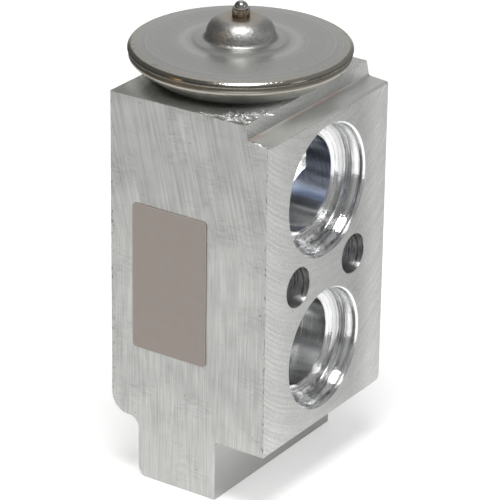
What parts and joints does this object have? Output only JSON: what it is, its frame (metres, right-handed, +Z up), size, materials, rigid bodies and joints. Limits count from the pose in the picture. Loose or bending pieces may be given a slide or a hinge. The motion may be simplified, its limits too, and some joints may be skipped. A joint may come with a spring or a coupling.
{
  "type": "thermostatic expansion valve",
  "caption": "Block-type refrigerant expansion valve: aluminium body with stepped ports, disc power element on top, sprung ball valve and adjusting screw inside.",
  "frame": {"origin": "on the valve axis at the underside of the foot, the middle of the box's bottom", "axes": "+Z up the valve axis to the power element, +X out of the deep port face, -Y towards the label face"},
  "size_m": [0.0362, 0.0362, 0.0797],
  "materials": {
    "block_aluminium": "machined, satin",
    "pressed_steel": "satin",
    "bronze": "brazed, dull",
    "polished_steel": "polished",
    "thin_steel": "rolled sheet",
    "turned_aluminium": "turned",
    "seal_rubber": "matt",
    "rod_steel": "ground",
    "spring_steel": "drawn wire",
    "carrier_brass": "turned",
    "screw_brass": "turned",
    "label_film": "matt"
  },
  "bodies": {
    "valve_body": {"valve_block": "block_aluminium", "lower_housing": "pressed_steel", "upper_lid": "pressed_steel", "charge_stub": "bronze", "sealing_ball": "polished_steel", "diaphragm": "thin_steel", "head_seal": "seal_rubber", "rod_seal": "seal_rubber", "seal_retainer": "spring_steel", "seat_ring": "rod_steel", "superheat_spring": "spring_steel", "blank_label": "label_film"},
    "valve_train": {"diaphragm_pad": "turned_aluminium", "sensing_rod": "rod_steel", "push_pin": "rod_steel", "valve_ball": "polished_steel", "ball_carrier": "carrier_brass", "damper_spring": "spring_steel"},
    "screw_carriage": {"screw_seal": "seal_rubber"},
    "screw": {"adjusting_screw": "screw_brass"}
  },
  "joints": [
    {"name": "valve_stroke", "type": "slide", "parent": "valve_body", "child": "valve_train", "axis": [0, 0, -1], "range_m": [0, 0.0008], "stiffness_N_per_m": 2000, "springref_m": -0.002, "deforming": ["superheat_spring", "diaphragm"]},
    {"name": "screw_travel", "type": "slide", "parent": "valve_body", "child": "screw_carriage", "axis": [0, 0, 1], "range_m": [-0.00101, 0.00101]},
    {"name": "screw_turn", "type": "hinge", "parent": "screw_carriage", "child": "screw", "pos_m": [0, 0, 0], "axis": [0, 0, 1], "range_deg": [-360, 360]}
  ],
  "couplings": [
    {"joint": "screw_travel", "follows": "screw_turn", "m_per_rad": 0.00015915}
  ]
}
